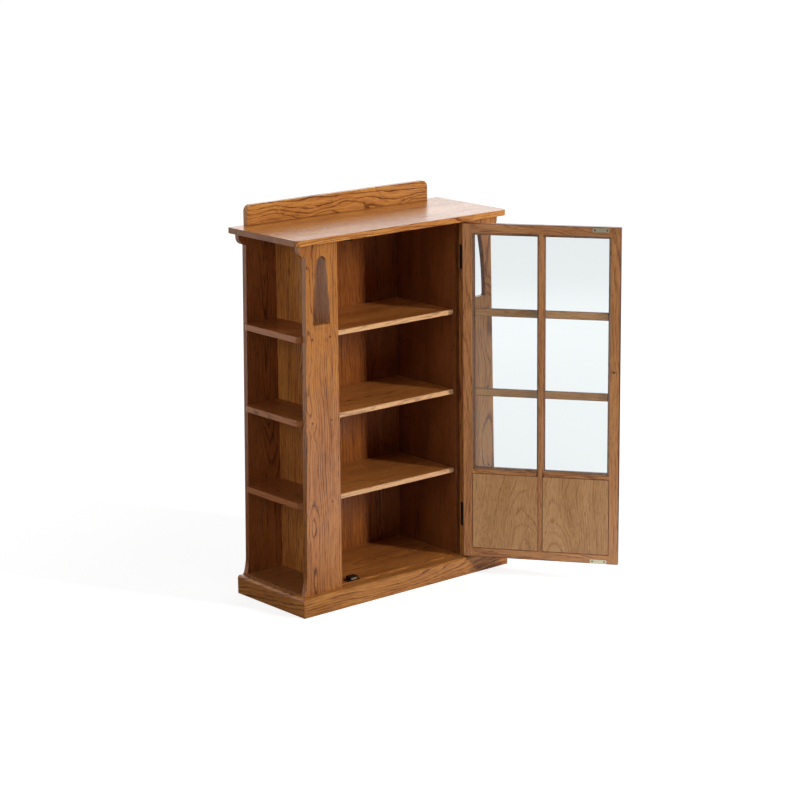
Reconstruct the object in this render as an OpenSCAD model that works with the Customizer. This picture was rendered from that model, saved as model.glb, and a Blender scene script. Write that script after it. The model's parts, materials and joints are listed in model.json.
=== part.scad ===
// Display cabinet: a glazed middle case between two open bays, on a moulded plinth.
// Origin: middle of the footprint, on the floor. +X right, +Y back, +Z up. Sizes in mm.

/* [Overall] */
// width of the plinth and of the top board, side to side
cabinet_w = 826; // [780:1:960]
// depth of the plinth, front to back
cabinet_d = 336; // [300:1:420]
// height of the top board's upper face above the floor
cabinet_h = 1150; // [1135:1:1260]

/* [Plinth] */
// height of the plinth up to its ledge
plinth_h = 58; // [48:1:76]
// width of the ledge in front of the upright boards
ledge_front = 24; // [16:0.5:34]
// width of the ledge beside the bottom board
ledge_side = 20; // [14:0.5:26]
// radius of the round-over along the outer top edge
plinth_round = 8; // [3:0.5:12]
// width of the rebate that carries the bottom board
plinth_lap = 10; // [6:1:16]
// thickness of the plinth's back rail
plinth_back_t = 20; // [14:1:28]
// width of the bearer under the middle of the bottom board
bearer_w = 40; // [24:1:60]

/* [Case boards] */
// thickness of the upright front and back boards
upright_t = 18; // [15:0.5:22]
// thickness of the bottom board
bottom_t = 18; // [14:0.5:22]
// how far the bottom board stands above the plinth ledge
bottom_rise = 4; // [1:0.5:8]
// thickness of the top board
top_t = 18; // [14:0.5:24]
// radius of the top board's front corners
top_corner = 16; // [4:1:30]
// how far the top board's front edge stays behind the plinth's
top_setback = 2; // [0:0.5:6]
// thickness of the two partitions
partition_t = 20; // [16:0.5:24]
// thickness of the back panel
back_t = 8; // [5:0.5:12]
// width of the partition rebate that holds the back panel
back_lap = 8; // [5:0.5:12]
// width of one board of the back panel
back_board_w = 78; // [50:1:120]
// width of the groove between two boards of the back panel
back_groove = 3; // [1.5:0.5:5]
// distance of the back panel's rear face from the partitions' rear edge
back_recess = 5; // [2:0.5:10]
// set-in of the rear boards and the back panel from the plinth's rear face
rear_inset = 2; // [1:0.5:6]

/* [Uprights] */
// width of the door opening between the front boards
opening_w = 494.6; // [420:0.2:500]
// how far the partitions stand into the opening, as the door's stop
stop_w = 14.6; // [8:0.2:18]
// inset of the upright's outer edge from the plinth's side, at the floor
upright_inset_foot = 29.8; // [26:0.2:40]
// inset of the upright's outer edge from the plinth's side, at the top
upright_inset_top = 50; // [44:0.5:62]
// height of the flared foot above the ledge
flare_h = 60; // [45:1:80]
// how far the corbel stands out under the top board
corbel_out = 26.5; // [26:0.5:32]
// radius of the corbel's quarter round
corbel_r = 25.5; // [16:0.5:25.5]
// height of the corbel's upright face
corbel_face = 13.5; // [6:0.5:20]

/* [Slots] */
// distance from the door opening to the slot's lower inner corner
slot_margin = 28; // [20:0.5:32]
// width of the slot at its lower end
slot_foot_w = 66; // [56:0.5:72]
// radius of the slot's round head
slot_head_r = 17.3; // [12:0.1:20]
// how far the head's centre lies outward of the lower inner corner
slot_lean = 31.2; // [26:0.2:34]
// height of the slot
slot_h = 206; // [150:1:208]
// distance from the upper side shelf to the slot
slot_rise = 31; // [22:1:32]
// radius of the slot's lower corners
slot_corner = 6; // [3:0.5:9]

/* [Side shelves] */
// height of the top bay, from the upper shelves to the top board
top_bay = 278; // [278:1:306]
// distance from one side shelf up to the next; the lowest bay takes the rest
bay_step = 254; // [238:1:268]
// thickness of the side shelves
side_shelf_t = 18.5; // [16:0.5:22]
// how far the side shelves stand out past the uprights' edge
side_shelf_out = 14; // [4:0.5:18]
// radius of the side shelves' outer corners
side_shelf_corner = 16; // [4:1:24]

/* [Inner shelves] */
// how far the inner shelves lie below the side shelves
inner_drop = 2; // [0:0.5:10]
// thickness of the loose inner shelves
inner_shelf_t = 15.5; // [12:0.5:20]
// set-back of the inner shelves from the partitions' front edge
inner_shelf_setback = 7; // [3:0.5:20]
// gap at each end of the loose shelves
inner_shelf_gap = 2; // [1:0.5:3]
// diameter of the shelf pins
pin_d = 5; // [4:0.5:6]
// distance from the shelf's front edge to the front row of pins
pin_row_front = 12; // [10:1:40]
// distance from the shelf's rear edge to the rear row of pins
pin_row_rear = 38; // [20:1:60]
// height of the spare pin holes above a shelf's upper face
spare_rise = 121; // [90:1:150]

/* [Door] */
// thickness of the door
door_t = 18; // [16:0.5:22]
// gap at the hinge side, holds two hinge leaves
gap_hinge = 2.5; // [2.5:0.1:3.5]
// gap at the free side
gap_free = 1.3; // [1:0.1:3]
// gap under the door, above the bottom board
gap_low = 2; // [1:0.1:4]
// gap over the door, under the top board
gap_high = 3.8; // [1.5:0.1:6]
// width of the two stiles
stile_w = 37; // [30:0.5:50]
// width of the top rail
rail_top_w = 36.5; // [30:0.5:50]
// width of the bottom rail
rail_low_w = 36; // [30:0.5:50]
// width of the middle rail
rail_mid_w = 27; // [22:0.5:40]
// width of the mullion
mullion_w = 25; // [20:0.5:32]
// width of the muntins
muntin_w = 24.6; // [16:0.2:32]
// depth of the front layer, in front of glass and panels
front_layer = 9; // [7:0.5:10]
// width of the rebates around glass and panels
rebate_w = 8; // [5:0.5:9]
// width of the rebates along the mullion
rebate_mullion = 6.5; // [4:0.5:8]
// thickness of the glass
glass_t = 3; // [2:0.5:5]
// thickness of the lower wood panels
panel_t = 8.5; // [5:0.5:8.5]
// length of the rail tenons
tenon_l = 20; // [12:1:26]
// thickness of the rail tenons
tenon_t = 6; // [5:0.5:8]
// shoulder of the tenons above and below
tenon_in = 8.5; // [6:0.5:9]
// length of the mullion's tenons
mullion_tenon = 12; // [8:1:20]
// length of the muntins' stub tenons
stub_l = 5; // [3:0.5:6]
// thickness of the muntins' stub tenons
stub_t = 4; // [2:0.5:5]
// shoulder of the stub tenons above and below
stub_in = 6; // [4:0.5:7]
// diameter of the knob
knob_d = 30; // [22:1:36]
// projection of the knob
knob_l = 27; // [24:1:34]
// diameter of the knob's neck
knob_neck_d = 13; // [10:0.5:16]
// diameter of the knob's foot against the door
knob_foot_d = 20; // [16:0.5:21]
// height of the knob above the door's lower edge
knob_rise = 615; // [560:1:700]
// gap between the closed door and the partitions it stops on
stop_gap = 0.5; // [0.3:0.1:1.5]
// angle at which the door stands open at rest
open_angle = 126.5; // [90:0.5:170]

/* [Hinges] */
// length of the hinges
hinge_l = 76; // [60:1:100]
// outer diameter of the hinge barrel
barrel_d = 7; // [6:0.5:8]
// thickness of the hinge leaves
leaf_t = 1.1; // [0.8:0.05:1.1]
// width of a leaf from the barrel's axis
leaf_w = 17.5; // [15:0.5:18]
// distance from the pin's axis to the door's front face
pin_standoff = 4; // [4:0.1:6]
// distance of the lower hinge's end from the door's lower edge
hinge_low = 91.3; // [60:0.5:140]
// distance of the upper hinge's end from the door's upper edge
hinge_high = 71.5; // [50:0.5:140]
// distance of the leaf screws from the leaf's free edge
leaf_screw_edge = 5; // [4.5:0.1:6]
// diameter of the hinge pin
hinge_pin_d = 3; // [2.5:0.1:3.6]

/* [Catches] */
// distance of the catches and strike plates from the free side of the opening
catch_in = 62.3; // [58:0.1:95]
// width of the catch over its ears
catch_w = 46; // [40:1:56]
// width of the catch housing
catch_body_w = 30; // [24:1:34]
// depth of the catch
catch_depth = 22; // [16:1:30]
// height of the catch
catch_h = 13; // [12:0.5:16]
// length of the strike plates
strike_w = 53; // [44:1:60]
// height of the strike plates
strike_h = 12.5; // [10:0.5:14]
// radius of the strike plates' corners
strike_corner = 4.5; // [2:0.5:4.5]
// height of the lower strike plate's middle above the door's lower edge
strike_low = 7.3; // [7:0.1:12]
// distance of the upper strike plate's middle from the door's upper edge
strike_high = 9.7; // [7:0.1:12]
// thickness of the strike plates
strike_t = 1.5; // [1:0.25:2]
// distance between the two screws of a strike plate
strike_screw_gap = 38; // [30:1:40]
// gap between the catch and the strike plate when the door is closed
catch_gap = 0.5; // [0.3:0.1:1]

/* [Backsplash] */
// length of the backsplash
splash_w = 714; // [600:1:760]
// height of the backsplash
splash_h = 62.5; // [40:0.5:90]
// thickness of the backsplash
splash_t = 20; // [15:0.5:24]
// radius of the backsplash's corners
splash_corner = 20; // [6:1:36]

/* [Fixings] */
// diameter of the wood plugs over the shelf screws
plug_d = 8; // [7.5:0.5:12]
// depth of the wood plugs
plug_depth = 5; // [3:0.5:7]
// distance from the door opening to the inner plugs
plug_inner = 31; // [22:0.5:40]
// distance from the upright's outer edge to the outer plugs
plug_outer = 23; // [14:0.5:30]
// shank diameter of the shelf screws
screw_d = 3.5; // [3:0.1:3.6]
// length of the shelf screws
screw_l = 40; // [30:1:50]
// shank diameter of the small screws
small_d = 3; // [2.4:0.2:3.2]
// length of the small screws
small_l = 12; // [8:0.5:13]
// width of the seam between boards that are not glued to each other
seam = 0.5; // [0.2:0.1:1]
// radial clearance between a part and its seat
fit = 0.05; // [0.02:0.01:0.1]
// clearance between separate moving bodies
clear = 0.3; // [0.3:0.05:0.5]

/* [Hidden] */
hw = cabinet_w / 2;
y_front = -cabinet_d / 2;
y_back = cabinet_d / 2;
big = 400;

// plinth sections
front_w = ledge_front + upright_t + plinth_lap;
side_w = ledge_side + plinth_lap;

// case levels and planes
floor_z = plinth_h + bottom_rise;
bottom_z = floor_z - bottom_t;
under_top = cabinet_h - top_t;
up_front = y_front + ledge_front;
up_rear = up_front + upright_t;
rear_out = y_back - rear_inset;
rear_in = rear_out - upright_t;
half_open = opening_w / 2;
part_edge = up_rear;
part_in = half_open - stop_w;
part_out = part_in + partition_t;
ledge_in = hw - ledge_side;
bottom_half = ledge_in - seam;
foot_half = hw - upright_inset_foot;
head_half = hw - upright_inset_top;
panel_front = rear_out - back_recess - back_t;
shelf_tops = [for (i = [2, 1, 0]) under_top - top_bay - i * bay_step];
inner_tops = [for (top = shelf_tops) top - inner_drop];

// taper line of the uprights and the flare that touches it
taper = (head_half - foot_half) / cabinet_h;
function edge_x(z) = foot_half + taper * z;
flare_z = plinth_h + flare_h;
foot_x = bottom_half - seam / 2;
nrm = [1, -taper] / norm([1, -taper]);
flare_gap = [edge_x(flare_z) - foot_x, flare_h];
flare_r = -(flare_gap * flare_gap) / (2 * (flare_gap * nrm));
flare_c = [edge_x(flare_z), flare_z] + flare_r * nrm;
corbel_x = edge_x(under_top) + corbel_out;
corbel_z = under_top - corbel_face;

// slot outline: straight inner side, long outer arc, round head
slot_a = half_open + slot_margin;
slot_b = slot_a + slot_foot_w;
slot_z = shelf_tops[2] + slot_rise;
head = [slot_a + slot_lean, slot_z + slot_h - slot_head_r];
lean_v = head - [slot_a, slot_z];
side_ang = atan2(lean_v[1], lean_v[0]) + asin(slot_head_r / norm(lean_v));
side_dir = [cos(side_ang), sin(side_ang)];
side_len = sqrt(lean_v * lean_v - slot_head_r * slot_head_r);
head_u = head[0] - slot_b;
head_v = head[1] - slot_z;
arc_r = (slot_head_r * slot_head_r - head_u * head_u - head_v * head_v)
    / (2 * (head_u + slot_head_r));
arc_c = [slot_b - arc_r, slot_z];
arc_top = arc_c + arc_r * (head - arc_c) / norm(head - arc_c);
kite = slot_corner / tan(side_ang / 2);

// door, in its closed place
door_x0 = -half_open + gap_free;
door_x1 = half_open - gap_hinge;
door_mid = (door_x0 + door_x1) / 2;
door_z0 = floor_z + gap_low;
door_z1 = under_top - gap_high;
door_in = part_edge - stop_gap;
door_front = door_in - door_t;
layer_y = door_front + front_layer;
sight_x0 = door_x0 + stile_w;
sight_x1 = door_x1 - stile_w;
sight_z0 = door_z0 + rail_low_w;
sight_z1 = door_z1 - rail_top_w;
mull_x0 = door_mid - mullion_w / 2;
mull_x1 = door_mid + mullion_w / 2;
row_h = (sight_z1 - sight_z0 - 2 * muntin_w - rail_mid_w) / 4;
mid_z0 = sight_z0 + row_h;
mid_z1 = mid_z0 + rail_mid_w;
low_mun_z = mid_z1 + row_h;
high_mun_z = low_mun_z + muntin_w + row_h;
mid_y = (door_front + door_in) / 2;
stub_y = (layer_y + door_front) / 2;

// hinges
pin_x = half_open - gap_hinge / 2;
pin_y = door_front - pin_standoff;
hinge_z = [door_z0 + hinge_low, door_z1 - hinge_high - hinge_l];
knuckle = (hinge_l - 4 * clear) / 5;
screw_rows = [hinge_l * 0.13, hinge_l * 0.5, hinge_l * 0.87];
head_d = 2 * small_d;
head_t = 1.6;
leaf_y = pin_y + leaf_w - leaf_screw_edge;

// fixings
screw_head_t = 3;
pin_x_in = 8;
pin_x_out = 10;
collar = 1;
shelf_y0 = part_edge + inner_shelf_setback;
shelf_y1 = panel_front - inner_shelf_gap;
pin_rows = [shelf_y0 + pin_row_front, shelf_y1 - pin_row_rear];
pin_drop = inner_shelf_t + pin_d / 2;
strike_zs = [door_z0 + strike_low, door_z1 - strike_high];
catch_x = half_open - catch_in;
catch_y = door_in + strike_t + catch_gap;
catch_base = 2.5;
catch_wall = 4;
mag_w = catch_body_w - 2 * catch_wall;
mag_h = catch_h - 2 * catch_wall;
catch_screw_x = (catch_w + catch_body_w) / 4;
knob_x = door_x0 + stile_w / 2;
knob_z = door_z0 + knob_rise;
knob_bore = 14;
knob_foot_t = 3;
knob_ball_z = knob_l / 2 + 4;

// colours, for telling parts apart
c_case = [0.69, 0.47, 0.25];
c_trim = [0.63, 0.42, 0.23];
c_door = [0.62, 0.45, 0.28];
c_glass = [0.75, 0.86, 0.86, 0.4];
c_black = [0.1, 0.1, 0.1];
c_steel = [0.72, 0.72, 0.7];

// ---------- helpers ----------

// a box from its low corner to its high corner
module block(a, b) {
    translate(a) cube(b - a);
}

// a 2D outline in X and Z, made thick from y0 to y1
module slab_xz(y0, y1) {
    translate([0, y1, 0]) rotate([90, 0, 0]) linear_extrude(y1 - y0) children();
}

// the two sides of the cabinet: 1 is right, -1 is left
module to_side(s) {
    if (s > 0) children();
    else mirror([1, 0, 0]) children();
}

// a round bar along Y, from y0 to y1
module bar_y(x, y0, y1, z, d, fn = 16) {
    translate([x, y0, z]) rotate([-90, 0, 0]) cylinder(d = d, h = y1 - y0, $fn = fn);
}

// a round bar along X, from x0 to x1
module bar_x(x0, x1, y, z, d, fn = 16) {
    translate([x0, y, z]) rotate([0, 90, 0]) cylinder(d = d, h = x1 - x0, $fn = fn);
}

// moves closed door parts to the open place
module open_door() {
    translate([pin_x, pin_y, 0]) rotate([0, 0, open_angle]) translate([-pin_x, -pin_y, 0])
        children();
}

// ---------- plinth ----------

// moulding section: rounded outer edge at u = 0, height along v
module moulding_2d(w) {
    translate([plinth_round, 0]) square([w - plinth_round, plinth_h]);
    square([w, plinth_h - plinth_round]);
    translate([plinth_round, plinth_h - plinth_round]) circle(r = plinth_round, $fn = 48);
}

module plinth_front() {
    color(c_trim) difference() {
        translate([-hw, y_front, 0]) rotate([90, 0, 90]) linear_extrude(cabinet_w)
            moulding_2d(front_w);
        for (s = [-1, 1]) to_side(s) linear_extrude(big, center = true)
            polygon([[hw + 1, y_front - ledge_front / ledge_side],
                [ledge_in, up_front], [ledge_in, up_rear],
                [hw - side_w, up_rear], [hw - side_w, up_rear + big], [hw + 1, up_rear + big]]);
        block([-bottom_half, up_rear, bottom_z], [bottom_half, up_rear + big, floor_z]);
    }
}

module plinth_side(s) {
    color(c_trim) to_side(s) difference() {
        translate([hw, rear_out + rear_inset, 0]) mirror([1, 0, 0]) rotate([90, 0, 0])
            linear_extrude(cabinet_d) moulding_2d(side_w);
        linear_extrude(big, center = true)
            polygon([[hw, y_front], [ledge_in, up_front], [ledge_in, up_rear],
                [hw - side_w - 1, up_rear], [hw - side_w - 1, y_front - 1], [hw, y_front - 1]]);
        block([hw - side_w - 1, up_rear, bottom_z], [ledge_in, rear_out, floor_z]);
    }
}

module plinth_back() {
    color(c_trim) block([-(hw - side_w), rear_out - plinth_back_t, 0],
        [hw - side_w, rear_out, bottom_z]);
}

// middle bearer under the bottom board
module plinth_bearer() {
    color(c_trim) block([-bearer_w / 2, y_front + front_w, 0],
        [bearer_w / 2, rear_out - plinth_back_t, bottom_z]);
}

// ---------- case ----------

module bottom_board() {
    color(c_case) difference() {
        block([-bottom_half, up_rear, bottom_z], [bottom_half, rear_out, floor_z]);
        for (sx = [-1, 1]) catch_screw_at(sx, 0) cylinder(d = small_d + 2 * fit, h = small_l, $fn = 16);
    }
}

module top_board() {
    tf = y_front + top_setback;
    color(c_case) difference() {
        translate([0, 0, under_top]) linear_extrude(top_t) union() {
            translate([-hw, tf + top_corner]) square([cabinet_w, y_back - tf - top_corner]);
            translate([-hw + top_corner, tf]) square([cabinet_w - 2 * top_corner, top_corner]);
            for (s = [-1, 1]) translate([s * (hw - top_corner), tf + top_corner])
                circle(r = top_corner, $fn = 64);
        }
        for (sx = [-1, 1]) catch_screw_at(sx, 1) cylinder(d = small_d + 2 * fit, h = small_l, $fn = 16);
    }
}

module backsplash() {
    r = splash_corner;
    color(c_case) slab_xz(y_back - splash_t, y_back) translate([0, cabinet_h]) union() {
        translate([-splash_w / 2, 0]) square([splash_w, splash_h - r]);
        translate([-splash_w / 2 + r, 0]) square([splash_w - 2 * r, splash_h]);
        for (s = [-1, 1]) translate([s * (splash_w / 2 - r), splash_h - r]) circle(r = r, $fn = 64);
    }
}

// outline of an upright that stands at height z0, right side
module upright_2d(z0) {
    polygon([[half_open, z0], [edge_x(z0), z0], [edge_x(under_top), under_top],
        [half_open, under_top]]);
    difference() {
        polygon([[edge_x(flare_z) - 2, z0], [foot_x + 1, z0], [foot_x + 1, flare_z],
            [edge_x(flare_z) - 2, flare_z]]);
        translate(flare_c) circle(r = flare_r, $fn = 240);
    }
    translate([edge_x(under_top) - 4, corbel_z]) square([corbel_out + 4, corbel_face]);
    intersection() {
        translate([corbel_x - corbel_r, corbel_z]) circle(r = corbel_r, $fn = 96);
        translate([half_open, corbel_z - corbel_r - 1]) square([big, corbel_r + 1]);
    }
}

module slot_2d() {
    ca = [slot_a + kite, slot_z + slot_corner];
    cb = [slot_b - slot_corner, slot_z + slot_corner];
    intersection() {
        polygon([[ca[0], slot_z], [cb[0], slot_z], cb, [slot_b, cb[1]], [slot_b, arc_top[1]],
            arc_top, [slot_a, slot_z] + side_len * side_dir, [slot_a, slot_z] + kite * side_dir,
            ca]);
        translate(arc_c) circle(r = arc_r, $fn = 720);
    }
    translate(head) circle(r = slot_head_r, $fn = 64);
    translate(ca) circle(r = slot_corner, $fn = 32);
    translate(cb) circle(r = slot_corner, $fn = 32);
}

// X of the two screws of a shelf whose middle is at height z
function plug_xs(z) = [half_open + plug_inner, edge_x(z) - plug_outer];
function shelf_mid(top) = top - side_shelf_t / 2;

// bores for the shelf screws through an upright, outer face at y0, inner face at y1
module screw_bores(y0, y1) {
    dir = sign(y1 - y0);
    for (top = shelf_tops) for (x = plug_xs(shelf_mid(top))) translate([x, y0, shelf_mid(top)])
        rotate([-90 * dir, 0, 0]) {
            translate([0, 0, -1]) cylinder(d = plug_d, h = plug_depth + screw_head_t + 1, $fn = 24);
            cylinder(d = screw_d + 2 * fit, h = upright_t + 1, $fn = 16);
        }
}
module front_board(s) {
    color(c_case) to_side(s) difference() {
        slab_xz(up_front, up_rear) difference() {
            upright_2d(plinth_h);
            slot_2d();
        }
        screw_bores(up_front, up_rear);
        if (s > 0) for (z = hinge_z) for (r = screw_rows)
            bar_x(half_open - 1, half_open + small_l - leaf_t, leaf_y, z + r, small_d + 2 * fit);
    }
}
module back_board(s) {
    color(c_case) to_side(s) difference() {
        slab_xz(rear_in, rear_out) difference() {
            upright_2d(floor_z);
            translate([half_open - 1, 0]) square([part_out - half_open + 1, cabinet_h]);
        }
        screw_bores(rear_out, rear_in);
    }
}

module partition(s) {
    color(c_case) to_side(s) difference() {
        block([part_in, part_edge, floor_z], [part_out, rear_out, under_top]);
        block([part_in - 1, panel_front, floor_z - 1], [part_in + back_lap, rear_out + 1, cabinet_h]);
        for (top = inner_tops) for (y = pin_rows) for (z = [top - pin_drop, top + spare_rise])
            bar_x(part_in - 1, part_in + pin_x_out, y, z, pin_d + 2 * fit);
    }
}

module back_panel() {
    half = part_in + back_lap - fit;
    n = floor(half / back_board_w);
    color(c_case) difference() {
        block([-half, panel_front, floor_z], [half, panel_front + back_t, under_top]);
        for (i = [-n : n]) translate([i * back_board_w, panel_front, 0]) rotate([0, 0, 45])
            cube([back_groove / sqrt(2), back_groove / sqrt(2), 2 * (cabinet_h + 1)], center = true);
    }
}

// ---------- shelves ----------

module side_shelf(s, top) {
    z = shelf_mid(top);
    xo = edge_x(z) + side_shelf_out;
    r = side_shelf_corner;
    color(c_case) to_side(s) difference() {
        translate([0, 0, top - side_shelf_t]) linear_extrude(side_shelf_t) union() {
            translate([part_out, up_rear]) square([xo - r - part_out, rear_in - up_rear]);
            translate([part_out, up_rear + r]) square([xo - part_out, rear_in - up_rear - 2 * r]);
            for (y = [up_rear + r, rear_in - r]) translate([xo - r, y]) circle(r = r, $fn = 48);
        }
        for (x = plug_xs(z)) {
            bar_y(x, up_rear - 1, screw_y(1) + screw_l, z, screw_d + 2 * fit);
            bar_y(x, screw_y(-1) - screw_l, rear_in + 1, z, screw_d + 2 * fit);
        }
    }
}
// Y of the underside of the front (1) and rear (-1) shelf screw heads
function screw_y(f) = f > 0 ? up_front + plug_depth + screw_head_t
    : rear_out - plug_depth - screw_head_t;

module inner_shelf(top) {
    half = part_in - inner_shelf_gap;
    color(c_case) block([-half, shelf_y0, top - inner_shelf_t], [half, shelf_y1, top]);
}

module shelf_pins() {
    color(c_steel) for (s = [-1, 1]) to_side(s) for (top = inner_tops) for (y = pin_rows)
        translate([0, 0, top - pin_drop]) {
            bar_x(part_in - pin_x_in, part_in + pin_x_out - 0.5, y, 0, pin_d, 24);
            bar_x(part_in - collar, part_in, y, 0, pin_d + 3, 24);
        }
}

module plugs() {
    color(c_trim) for (s = [-1, 1]) to_side(s) for (top = shelf_tops)
        for (x = plug_xs(shelf_mid(top)))
            bar_y(x, up_front, up_front + plug_depth - clear, shelf_mid(top), plug_d, 24);
}

module shelf_screws() {
    color(c_steel) for (s = [-1, 1]) to_side(s) for (top = shelf_tops)
        for (x = plug_xs(shelf_mid(top))) for (f = [-1, 1])
            translate([x, screw_y(f), shelf_mid(top)]) rotate([-90 * f, 0, 0]) {
                translate([0, 0, -screw_head_t]) cylinder(d = 2 * screw_d, h = screw_head_t, $fn = 16);
                translate([0, 0, -1]) cylinder(d = screw_d, h = screw_l - 1, $fn = 16);
            }
}

// ---------- hinges ----------

// one leaf in the closed place; f = 1 sits on the case, f = -1 on the door
module hinge_leaf(z, f) {
    own = f > 0 ? [0, 2, 4] : [1, 3];
    x_out = gap_hinge / 2;
    x_in = x_out - leaf_t;
    color(c_black) translate([pin_x, pin_y, z]) mirror([f > 0 ? 0 : 1, 0, 0]) difference() {
        union() {
            block([x_in, barrel_d / 2 + clear, 0], [x_out, leaf_w, hinge_l]);
            for (i = own) translate([0, 0, i * (knuckle + clear)]) {
                cylinder(d = barrel_d, h = knuckle, $fn = 32);
                block([x_in, 0, 0], [x_out, barrel_d / 2 + clear, knuckle]);
            }
        }
        translate([0, 0, -1]) cylinder(d = hinge_pin_d + 2 * fit, h = hinge_l + 2, $fn = 32);
        for (r = screw_rows) bar_x(0, x_out + 1, leaf_y - pin_y, r, small_d + 2 * fit);
    }
}

module hinge_pins() {
    color(c_black) for (z = hinge_z) translate([pin_x, pin_y, z]) {
        translate([0, 0, -clear]) cylinder(d = hinge_pin_d, h = hinge_l + 2 * clear, $fn = 32);
        for (a = [-clear - 2, hinge_l + clear]) translate([0, 0, a])
            cylinder(d = barrel_d - 1.5, h = 2, $fn = 32);
    }
}

// countersunk heads are let into the leaf, so only a thin rim shows
module hinge_screws(f) {
    color(c_black) for (z = hinge_z) for (r = screw_rows)
        translate([pin_x, leaf_y, z + r]) mirror([f > 0 ? 0 : 1, 0, 0])
            bar_x(gap_hinge / 2 - leaf_t + 0.1, gap_hinge / 2 + small_l - leaf_t - 0.5, 0, 0, small_d);
}

// ---------- catches ----------

// places its children on a catch screw; up = 0 floor catch, up = 1 top catch.
// The screw points along +Z in the board at the top, along -Z in the floor.
module catch_screw_at(sx, up) {
    x = -catch_x + sx * catch_screw_x;
    translate([x, catch_y + catch_depth / 2, up > 0 ? under_top : floor_z])
        mirror([0, 0, up > 0 ? 0 : 1]) translate([0, 0, -0.01]) children();
}

module at_catch(up) {
    translate([-catch_x, catch_y, up > 0 ? under_top : floor_z]) mirror([0, 0, up > 0 ? 1 : 0])
        children();
}

module catch_housings() {
    color(c_black) for (up = [0, 1]) at_catch(up) difference() {
        union() {
            block([-catch_w / 2, 0, 0], [catch_w / 2, catch_depth, catch_base]);
            block([-catch_body_w / 2, 0, 0], [catch_body_w / 2, catch_depth, catch_h]);
        }
        block([-mag_w / 2 - fit, -1, catch_wall - fit],
            [mag_w / 2 + fit, catch_depth - catch_wall, catch_wall + mag_h + fit]);
        for (sx = [-1, 1]) translate([sx * catch_screw_x, catch_depth / 2, -1])
            cylinder(d = small_d + 2 * fit, h = catch_base + 2, $fn = 16);
    }
}

module catch_magnets() {
    color(c_steel) for (up = [0, 1]) at_catch(up)
        block([-mag_w / 2, fit, catch_wall],
            [mag_w / 2, catch_depth - catch_wall - fit, catch_wall + mag_h]);
}

module catch_screws() {
    color(c_steel) for (up = [0, 1]) at_catch(up)
        for (sx = [-1, 1]) translate([sx * catch_screw_x, catch_depth / 2, 0]) {
            translate([0, 0, 1 - small_l]) cylinder(d = small_d, h = small_l + catch_base - 0.5, $fn = 16);
            translate([0, 0, catch_base]) cylinder(d = head_d, h = head_t, $fn = 24);
        }
}

// ---------- door ----------

// heights of the tenons: top, middle, bottom rail
tenons = [[sight_z1 + tenon_in, door_z1 - tenon_in], [mid_z0 + tenon_in, mid_z1 - tenon_in],
    [door_z0 + tenon_in, sight_z0 - tenon_in]];

module tenon_pair(i) {
    block([sight_x0 - tenon_l, mid_y - tenon_t / 2, tenons[i][0]],
        [sight_x1 + tenon_l, mid_y + tenon_t / 2, tenons[i][1]]);
}

module mortises() {
    for (t = tenons) block([sight_x0 - tenon_l - 1, mid_y - tenon_t / 2 - fit, t[0] - fit],
        [sight_x1 + tenon_l + 1, mid_y + tenon_t / 2 + fit, t[1] + fit]);
}

// X of a strike plate's two screws
strike_xs = [for (s = [-1, 1]) s * strike_screw_gap / 2 - catch_x];

module strike_bores() {
    for (z = strike_zs) for (x = strike_xs)
        bar_y(x, door_in - small_l + 0.5, door_in + 1, z, small_d + 2 * fit);
}

module stile_2d_parts(x0, x1, rb0, rb1) {
    block([x0, door_front, door_z0], [x1, layer_y, door_z1]);
    block([x0 + rb0, layer_y, door_z0], [x1 - rb1, door_in, door_z1]);
}

module door_stile_hinge() {
    color(c_door) open_door() difference() {
        stile_2d_parts(sight_x1, door_x1, rebate_w, 0);
        mortises();
        for (z = hinge_z) for (r = screw_rows)
            bar_x(door_x1 - small_l + leaf_t, door_x1 + 1, leaf_y, z + r, small_d + 2 * fit);
    }
}

module door_stile_free() {
    color(c_door) open_door() difference() {
        stile_2d_parts(door_x0, sight_x0, 0, rebate_w);
        mortises();
        strike_bores();
        bar_y(knob_x, door_front - 1, door_in + 1, knob_z, screw_d + 2 * fit);
    }
}

// a rail between the stiles; rl and rh are the rebates below and above
module rail(z0, z1, rl, rh, i) {
    block([sight_x0, door_front, z0], [sight_x1, layer_y, z1]);
    block([sight_x0 - rebate_w, layer_y, z0 + rl], [sight_x1 + rebate_w, door_in, z1 - rh]);
    tenon_pair(i);
}

module mullion_socket() {
    block([mull_x0 + rebate_mullion - fit, mid_y - tenon_t / 2 - fit, sight_z0 - mullion_tenon - fit],
        [mull_x1 - rebate_mullion + fit, mid_y + tenon_t / 2 + fit, sight_z1 + mullion_tenon + fit]);
}

module door_rail_top() {
    color(c_door) open_door() difference() {
        rail(sight_z1, door_z1, rebate_w, 0, 0);
        mullion_socket();
        strike_bores();
    }
}

module door_rail_bottom() {
    color(c_door) open_door() difference() {
        rail(door_z0, sight_z0, 0, rebate_w, 2);
        mullion_socket();
        strike_bores();
    }
}

module door_rail_middle() {
    color(c_door) open_door() difference() {
        rail(mid_z0, mid_z1, rebate_w, rebate_w, 1);
        block([mull_x0, layer_y, mid_z0 - 1], [mull_x1, door_in + 1, mid_z1 + 1]);
    }
}

module door_mullion() {
    color(c_door) open_door() difference() {
        union() {
            block([mull_x0, door_front, sight_z0], [mull_x1, layer_y, sight_z1]);
            block([mull_x0 + rebate_mullion, layer_y, sight_z0 - rebate_w],
                [mull_x1 - rebate_mullion, door_in, sight_z1 + rebate_w]);
            block([mull_x0 + rebate_mullion, mid_y - tenon_t / 2, sight_z0 - mullion_tenon],
                [mull_x1 - rebate_mullion, mid_y + tenon_t / 2, sight_z1 + mullion_tenon]);
        }
        block([mull_x0 - 1, door_front - 1, mid_z0], [mull_x1 + 1, layer_y, mid_z1]);
        for (z = [low_mun_z, high_mun_z]) muntin_sockets(z);
    }
}

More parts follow.
